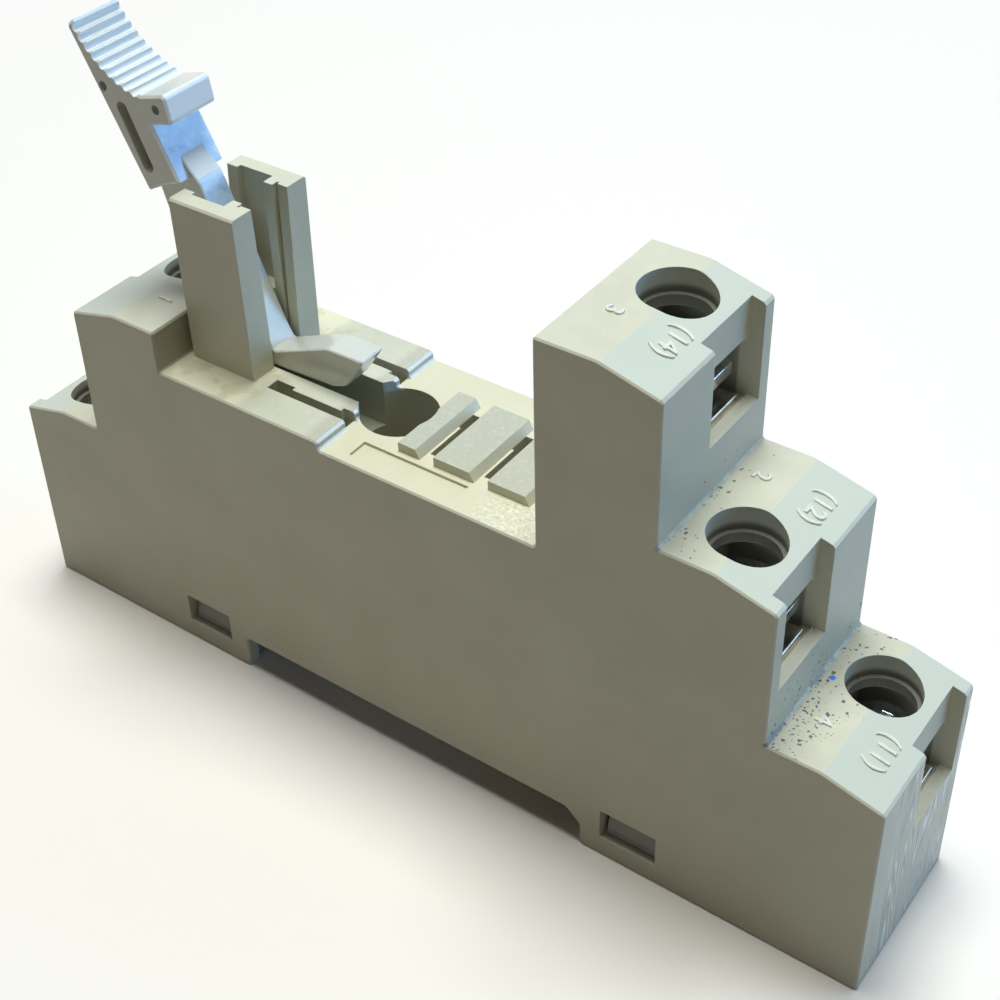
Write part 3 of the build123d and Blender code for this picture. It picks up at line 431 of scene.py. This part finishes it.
def dress_nodes():
    # In each set of tones the last is a painted highlight along the edges, with some rubbing
    # PBT with glass fibre: warm pale grey and matt
    housing = ("#CBC8B2", "#C6C3AC", "#CECBB5", "#E6E9E2")
    set_finish(["housing"], moulded_plastic("housing_pbt", housing, marks=housing_marks))
    cover = ("#8E8F8A", "#878882", "#94958F", "#A8AAA4")
    set_finish(["base_cover"], moulded_plastic("cover_pbt", cover))
    # Acetal: waxy and smoother than the housing
    latch = ("#A5A39A", "#9E9C93", "#ABA9A0", "#BDBCB4")
    set_finish(["rail_latch"], moulded_plastic("latch_acetal", latch, 0.36, 0.002))
    lever = ("#CCCBBD", "#C7C6B8", "#D0CFC2", "#E9F0F2")
    lever = moulded_plastic("lever_acetal", lever, 0.30, 0.0003, 0.09, lever_marks, 0.7)
    set_finish(["release_lever"], lever)
    # Silver and zinc over copper alloy and steel, and bare drawn spring wire
    silver, zinc = ("#EFEDE6", "#D2CEC2"), ("#E6EAEE", "#C6CACF")
    set_finish(terminal_nodes("terminal_strip"), plated_metal("silver_plated_strip", *silver, 0.15))
    set_finish(terminal_nodes("contact_clip"), plated_metal("silver_plated_clip", *silver, 0.22))
    set_finish(terminal_nodes("clamp_plate"), plated_metal("zinc_plated_clamp", *zinc, 0.14))
    set_finish(terminal_nodes("terminal_screw"), plated_metal("zinc_plated_screw", *zinc, 0.13))
    wire = plated_metal("drawn_steel_wire", "#8A8B8E", "#74757A", 0.3)
    set_finish(["latch_spring"], wire)
    latch_spring_coil(wire)


def latch_spring_coil(material):
    """The compression spring in round wire, wound from its fixed end over its given length."""
    form = bmesh.new()
    lie_down = Matrix.Rotation(math.pi / 2, 4, "X")
    bmesh.ops.create_circle(form, segments=8, radius=SPRING_WIRE_RADIUS * MM, matrix=lie_down,
                            cap_ends=True)
    start = (SPRING_FIXED_END + SPRING_WIRE_RADIUS, 0, SPRING_AXIS_Z + SPRING_COIL_RADIUS)
    bmesh.ops.translate(form, verts=form.verts, vec=[number * MM for number in start])
    steps = STEPS_IN_A_TURN * SPRING_TURNS
    pitch = (SPRING_LENGTH - 2 * SPRING_WIRE_RADIUS) * MM / steps
    section = form.verts[:] + form.edges[:] + form.faces[:]
    bmesh.ops.spin(form, geom=section, cent=(0, 0, SPRING_AXIS_Z * MM), axis=(1, 0, 0),
                   dvec=(pitch, 0, 0), angle=2 * math.pi * SPRING_TURNS, steps=steps)
    bmesh.ops.remove_doubles(form, verts=form.verts, dist=0.001 * MM)
    bmesh.ops.recalc_face_normals(form, faces=form.faces)
    for face in form.faces:
        face.smooth = len(face.verts) == 4
    mesh = bpy.data.meshes.new("latch_spring_coil")
    form.to_mesh(mesh)
    form.free()
    mesh.materials.append(material)
    piece = bpy.data.objects.new("latch_spring_coil", mesh)
    bpy.context.scene.collection.objects.link(piece)
    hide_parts("latch_spring")
    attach(piece, "socket")
    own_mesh(piece)


# Raised numbers

def tower_height(terminal, x):
    """Height and fall of the tower's top at x: flat to the screw's axis, then down to the end face."""
    low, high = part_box("terminal_screw_" + terminal)
    past = abs(x) - abs(low.x + high.x) / 2
    if past <= 0:
        return TOWER_TOPS[terminal] * MM, 0.0
    return TOWER_TOPS[terminal] * MM - past * END_SLOPE, math.copysign(END_SLOPE, x)


def raised_number(index, words, x, y, height, terminal, way, material):
    text = bpy.data.curves.new("number_%d" % index, "FONT")
    text.body = words
    text.align_x = "CENTER"
    text.align_y = "CENTER"
    text.size = height * MM / CAPITAL_SHARE
    text.space_character = NUMBER_SPACING
    text.offset = NUMBER_SWELL * MM
    text.extrude = NUMBER_RISE * MM
    text.bevel_depth = NUMBER_ROUND * MM
    text.bevel_resolution = 3
    source = bpy.data.objects.new("number_text", text)
    bpy.context.scene.collection.objects.link(source)
    bpy.context.view_layer.update()
    mesh = bpy.data.meshes.new_from_object(source)
    bpy.data.objects.remove(source)
    top, slope = tower_height(terminal, x * MM)
    turn = Matrix.Rotation(math.atan(slope), 4, "Y") @ Matrix.Rotation(-way * math.pi / 2, 4, "Z")
    mesh.transform(Matrix.Translation((x * MM, y * MM, top)) @ turn)
    mesh.materials.clear()
    mesh.materials.append(material)
    piece = bpy.data.objects.new("terminal_number_%d" % index, mesh)
    bpy.context.scene.collection.objects.link(piece)
    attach(piece, "socket")


# Studio

def area_light(name, towards, distance, size, power, code):
    lamp = bpy.data.lights.new(name, "AREA")
    lamp.shape = "DISK"
    lamp.size = size
    lamp.energy = power
    lamp.color = linear(code)[:3]
    light = bpy.data.objects.new(name, lamp)
    direction = Vector(towards).normalized()
    light.location = direction * distance
    light.rotation_euler = direction.to_track_quat("Z", "Y").to_euler()
    bpy.context.scene.collection.objects.link(light)


def shown_rays(tree):
    """1 for the rays that show the background: straight to the camera, in gloss and through glass."""
    rays = add(tree, "LightPath", output=None)
    shown = rays["Is Camera Ray"]
    for kind in ("Is Glossy Ray", "Is Transmission Ray"):
        shown = add(tree, "Math", {0: shown, 1: rays[kind]}, operation="MAXIMUM")
    return shown


def studio():
    mesh = bpy.data.meshes.new("floor")
    form = bmesh.new()
    bmesh.ops.create_grid(form, x_segments=1, y_segments=1, size=FLOOR_HALF)
    bmesh.ops.translate(form, verts=form.verts, vec=(0, 0, FLOOR_Z))
    form.to_mesh(mesh)
    form.free()
    floor = bpy.data.objects.new("floor", mesh)
    bpy.context.scene.collection.objects.link(floor)
    # Matt paper, greyer for the light that it throws back on the socket than for the eye, and plain
    # white to the eye away from the socket and its shadow
    material, tree, place = new_material("floor_paper")
    away = add(tree, "VectorMath", {0: place}, "Value", operation="LENGTH")
    shown = shown_rays(tree)
    far = add(tree, "MapRange", {0: away, 1: PAPER_FADES[0], 2: PAPER_FADES[1]}, **SMOOTH)
    far = add(tree, "Math", {0: far, 1: shown}, **TIMES)
    tint = stain(tree, linear("#ACA498"), "#FFF6EC", shown)
    paper = add(tree, "BsdfPrincipled", {"Base Color": tint, "Roughness": 0.9})
    white = add(tree, "Emission", {"Color": linear("#FFFFFF"), "Strength": 1.0})
    add(tree, "OutputMaterial", {"Surface": add(tree, "MixShader", {0: far, 1: paper, 2: white})})
    mesh.materials.append(material)

    world = bpy.data.worlds.new("studio")
    bpy.context.scene.world = world
    world.use_nodes = True
    tree = world.node_tree
    tree.nodes.clear()
    around = add(tree, "Background", {"Color": linear("#FFF2E2"), "Strength": 0.04})
    behind = add(tree, "Background", {"Color": linear("#FFFFFF"), "Strength": 1.0})
    both = add(tree, "MixShader", {0: shown_rays(tree), 1: around, 2: behind})
    add(tree, "OutputWorld", {"Surface": both})

    area_light("ceiling_softbox", (-0.05, 0.10, 1.0), 0.60, 0.30, 3.70, "#F6FEFF")
    area_light("sky_window", (-0.48, 0.64, 0.60), 0.70, 0.50, 0.45, "#9CCEFF")
    area_light("side_window", (0.80, 0.58, 0.16), 0.70, 0.50, 2.8, "#7CBEFF")


def camera():
    azimuth, elevation = math.radians(CAMERA_AZIMUTH), math.radians(CAMERA_ELEVATION)
    across = math.cos(elevation)
    back = Vector((math.sin(azimuth) * across, -math.cos(azimuth) * across, math.sin(elevation)))
    roll = Matrix.Rotation(math.radians(CAMERA_ROLL), 4, "Z")
    turn = back.to_track_quat("Z", "Y").to_matrix().to_4x4() @ roll
    lens = bpy.data.cameras.new("camera")
    lens.sensor_width = 36.0
    lens.lens = FOCAL_PIXELS / PHOTO_PIXELS * lens.sensor_width
    lens.shift_x = 0.5 - CENTRE_PIXEL[0] / PHOTO_PIXELS
    lens.shift_y = CENTRE_PIXEL[1] / PHOTO_PIXELS - 0.5
    lens.clip_start = 0.005
    lens.clip_end = 10.0
    view = bpy.data.objects.new("camera", lens)
    view.matrix_world = Matrix.Translation(CAMERA_PLACE) @ turn
    bpy.context.scene.collection.objects.link(view)
    bpy.context.scene.camera = view


dress_nodes()
# The numbers' round tops are painted paler than the skin, a painted highlight, and are smoother, as in
# the photograph
number_highlight_tones = ("#E2E1D5", "#DCDBCF", "#E7E6DB", "#F2F2EA")
number_finish = moulded_plastic("number_pbt", number_highlight_tones, 0.36, 0.002, 0)
for index, number in enumerate(NUMBERS):
    raised_number(index, *number, number_finish)
studio()
camera()
bpy.context.scene.view_settings.view_transform = "Standard"
